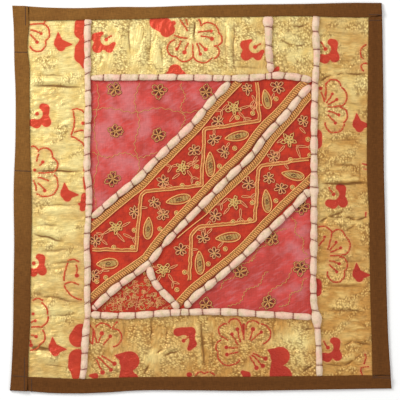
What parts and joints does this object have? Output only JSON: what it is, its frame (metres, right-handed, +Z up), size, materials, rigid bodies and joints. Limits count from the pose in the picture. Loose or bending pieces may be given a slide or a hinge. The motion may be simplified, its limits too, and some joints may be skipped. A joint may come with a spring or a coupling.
{
  "type": "patchwork cushion cover",
  "caption": "Flat square patchwork cushion cover of gold brocade, pink and red silk patches with couched padded cords, ladder braids and brown cotton borders.",
  "frame": {"origin": "middle of the cover's box at the surface it lies on", "axes": "+Z up out of the front, +Y towards the front's top edge, +X towards the front's right edge"},
  "size_m": [0.4012, 0.4104, 0.0081],
  "materials": {
    "brown_cotton": "plain woven cotton, matt",
    "gold_brocade": "crinkled silk brocade with gold weft, soft metallic sheen, red motifs",
    "pink_silk": "thin silk, faintly mottled, soft sheen",
    "red_silk": "plain silk under gold thread embroidery, satin",
    "zari_ground": "silk covered in looping gold wire thread",
    "padded_cord": "soft brushed cotton over padding, matt",
    "gold_braid": "wound gold thread braid, metallic sheen"
  },
  "bodies": {
    "root": {"back_panel": "brown_cotton", "patch_gold_left": "gold_brocade", "patch_gold_top": "gold_brocade", "patch_gold_corner": "gold_brocade", "patch_gold_right": "gold_brocade", "patch_gold_bottom": "gold_brocade", "patch_pink_upper": "pink_silk", "patch_band_upper": "red_silk", "patch_band_lower": "red_silk", "patch_zari_triangle": "zari_ground", "patch_pink_lower": "pink_silk", "border_left": "brown_cotton", "border_top": "brown_cotton", "border_right": "brown_cotton", "border_bottom": "brown_cotton", "cord_left": "padded_cord", "cord_right": "padded_cord", "cord_short": "padded_cord", "cord_top": "padded_cord", "cord_bottom": "padded_cord", "cord_diagonal_upper": "padded_cord", "cord_diagonal_middle": "padded_cord", "cord_diagonal_short": "padded_cord", "cord_diagonal_lower": "padded_cord", "braid_upper_a": "gold_braid", "braid_upper_b": "gold_braid", "braid_lower_a": "gold_braid", "braid_lower_b": "gold_braid"}
  },
  "joints": []
}
